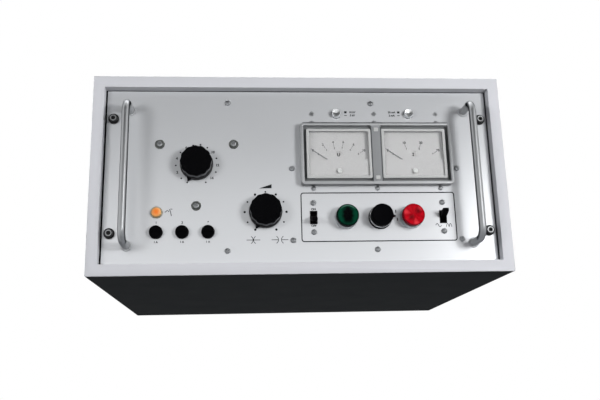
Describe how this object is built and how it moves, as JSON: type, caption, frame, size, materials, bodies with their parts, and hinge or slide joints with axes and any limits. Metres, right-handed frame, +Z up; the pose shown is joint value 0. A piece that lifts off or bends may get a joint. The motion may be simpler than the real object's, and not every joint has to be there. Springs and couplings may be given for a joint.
{
  "type": "hipot tester",
  "caption": "Desk-top high-voltage withstand tester: dark case, recessed silver control panel with bar handles, twin needle meters, dial knobs, lit push buttons and lever switches.",
  "frame": {"origin": "centre of the case's flat underside", "axes": "+Z up, -Y out of the control panel, +X to the right seen from the front"},
  "size_m": [0.514, 0.4675, 0.252],
  "materials": {
    "case_dark": "fine-textured dark paint",
    "frame_grey": "light grey satin paint on aluminium",
    "panel_silver": "satin anodised",
    "handle_bright": "bright plated round bar",
    "screw_steel": "zinc-plated",
    "washer_olive": "passivated",
    "washer_black": "black moulding",
    "bezel_silver": "bright anodised",
    "black_plastic": "black moulding",
    "knob_black": "black moulding",
    "dial_white": "matt printed card",
    "window_clear": "clear",
    "needle_dark": "dark paint on aluminium",
    "white_plastic": "white moulding",
    "magnet_grey": "cast",
    "green_lens": "clear coloured moulding",
    "red_lens": "clear coloured moulding",
    "orange_lens": "clear coloured moulding",
    "ring_silver": "satin",
    "switch_blue": "blue moulding",
    "copper_winding": "enamelled wire",
    "brass_parts": "plain brass",
    "tray_zinc": "zinc-plated sheet",
    "insulator": "cast resin",
    "board_green": "laminate",
    "can_grey": "grey paint",
    "fuse_glass": "clear tube"
  },
  "bodies": {
    "case": {"case_shell": "case_dark", "rear_panel": "case_dark", "front_frame": "frame_grey", "front_panel": "panel_silver", "handle_left": "handle_bright", "handle_right": "handle_bright", "rack_screws": "screw_steel", "panel_screws": "screw_steel", "countersunk_screws": "screw_steel", "meter_studs": "screw_steel", "handle_bolts": "screw_steel", "rear_screws": "screw_steel", "setter_screws": "washer_olive", "finishing_washers": "washer_olive", "cup_washers": "washer_black", "meter_bezel": "bezel_silver", "meter_housing": "black_plastic", "lever_switches": "black_plastic", "fuse_holders": "black_plastic", "mains_inlet": "black_plastic", "meter_dials": "dial_white", "meter_windows": "window_clear", "meter_movements": "magnet_grey", "hv_core": "magnet_grey", "lamp_lens": "orange_lens", "selector_switch": "ring_silver", "lamp_holder": "ring_silver", "button_bodies": "ring_silver", "range_switches": "switch_blue", "variac_winding": "copper_winding", "hv_winding": "copper_winding", "earth_terminal": "brass_parts", "chassis_tray": "tray_zinc", "variac_base": "tray_zinc", "gap_bracket": "insulator", "hv_socket": "insulator", "rectifier": "board_green", "control_board": "board_green", "hv_capacitor": "can_grey", "fuses": "fuse_glass"},
    "voltage_dial": {"voltage_knob": "knob_black", "voltage_shaft": "screw_steel", "brush_arm": "brass_parts"},
    "gap_dial": {"gap_knob": "knob_black", "gap_shaft": "screw_steel"},
    "gap_slider": {"gap_carriage": "brass_parts"},
    "selector": {"selector_knob": "knob_black"},
    "green_push": {"green_button": "green_lens"},
    "red_push": {"red_button": "red_lens"},
    "range_push_left": {"range_button_left": "ring_silver"},
    "range_push_right": {"range_button_right": "ring_silver"},
    "mains_paddle": {"mains_lever": "black_plastic"},
    "wave_paddle": {"wave_lever": "black_plastic"},
    "needle_left": {"pointer_left": "needle_dark"},
    "needle_right": {"pointer_right": "needle_dark"},
    "zero_left": {"zero_screw_left": "white_plastic"},
    "zero_right": {"zero_screw_right": "white_plastic"},
    "fuse_turn_1": {"fuse_cap_1": "black_plastic"},
    "fuse_turn_2": {"fuse_cap_2": "black_plastic"},
    "fuse_turn_3": {"fuse_cap_3": "black_plastic"}
  },
  "joints": [
    {"name": "voltage_turn", "type": "hinge", "parent": "case", "child": "voltage_dial", "pos_m": [-0.1296, -0.2065, 0.1398], "axis": [0, 1, 0], "range_deg": [0, 307.5]},
    {"name": "gap_turn", "type": "hinge", "parent": "case", "child": "gap_dial", "pos_m": [-0.045, -0.2065, 0.0788], "axis": [0, 1, 0], "range_deg": [0, 300]},
    {"name": "gap_open", "type": "slide", "parent": "case", "child": "gap_slider", "axis": [0, -1, 0], "range_m": [0, 0.01]},
    {"name": "selector_turn", "type": "hinge", "parent": "case", "child": "selector", "pos_m": [0.0966, -0.2065, 0.0707], "axis": [0, -1, 0], "range_deg": [0, 30]},
    {"name": "green_press", "type": "slide", "parent": "case", "child": "green_push", "axis": [0, 1, 0], "range_m": [0, 0.004], "stiffness_N_per_m": 500},
    {"name": "red_press", "type": "slide", "parent": "case", "child": "red_push", "axis": [0, 1, 0], "range_m": [0, 0.004], "stiffness_N_per_m": 500},
    {"name": "range_press_left", "type": "slide", "parent": "case", "child": "range_push_left", "axis": [0, 1, 0], "range_m": [0, 0.004]},
    {"name": "range_press_right", "type": "slide", "parent": "case", "child": "range_push_right", "axis": [0, 1, 0], "range_m": [0, 0.004]},
    {"name": "mains_flip", "type": "hinge", "parent": "case", "child": "mains_paddle", "pos_m": [0.014, -0.2015, 0.0714], "axis": [-1, 0, 0], "range_deg": [0, 30]},
    {"name": "wave_flip", "type": "hinge", "parent": "case", "child": "wave_paddle", "pos_m": [0.176, -0.2015, 0.0714], "axis": [1, 0, 0], "range_deg": [0, 30]},
    {"name": "needle_swing_left", "type": "hinge", "parent": "case", "child": "needle_left", "pos_m": [0.0476, -0.2065, 0.1349], "axis": [0, 1, 0], "range_deg": [0, 110], "stiffness_Nm_per_rad": 0.0002},
    {"name": "needle_swing_right", "type": "hinge", "parent": "case", "child": "needle_right", "pos_m": [0.1428, -0.2065, 0.1349], "axis": [0, 1, 0], "range_deg": [0, 110], "stiffness_Nm_per_rad": 0.0002},
    {"name": "zero_turn_left", "type": "hinge", "parent": "case", "child": "zero_left", "pos_m": [0.0476, -0.2065, 0.1288], "axis": [0, 1, 0], "range_deg": [-45, 45]},
    {"name": "zero_turn_right", "type": "hinge", "parent": "case", "child": "zero_right", "pos_m": [0.1428, -0.2065, 0.1288], "axis": [0, 1, 0], "range_deg": [-45, 45]},
    {"name": "fuse_unlock_1", "type": "hinge", "parent": "case", "child": "fuse_turn_1", "pos_m": [-0.1774, -0.2065, 0.0543], "axis": [0, -1, 0], "range_deg": [0, 60]},
    {"name": "fuse_unlock_2", "type": "hinge", "parent": "case", "child": "fuse_turn_2", "pos_m": [-0.1462, -0.2065, 0.0543], "axis": [0, -1, 0], "range_deg": [0, 60]},
    {"name": "fuse_unlock_3", "type": "hinge", "parent": "case", "child": "fuse_turn_3", "pos_m": [-0.115, -0.2065, 0.0543], "axis": [0, -1, 0], "range_deg": [0, 60]}
  ],
  "couplings": [
    {"joint": "gap_turn", "follows": "gap_open", "rad_per_m": 523.59}
  ]
}
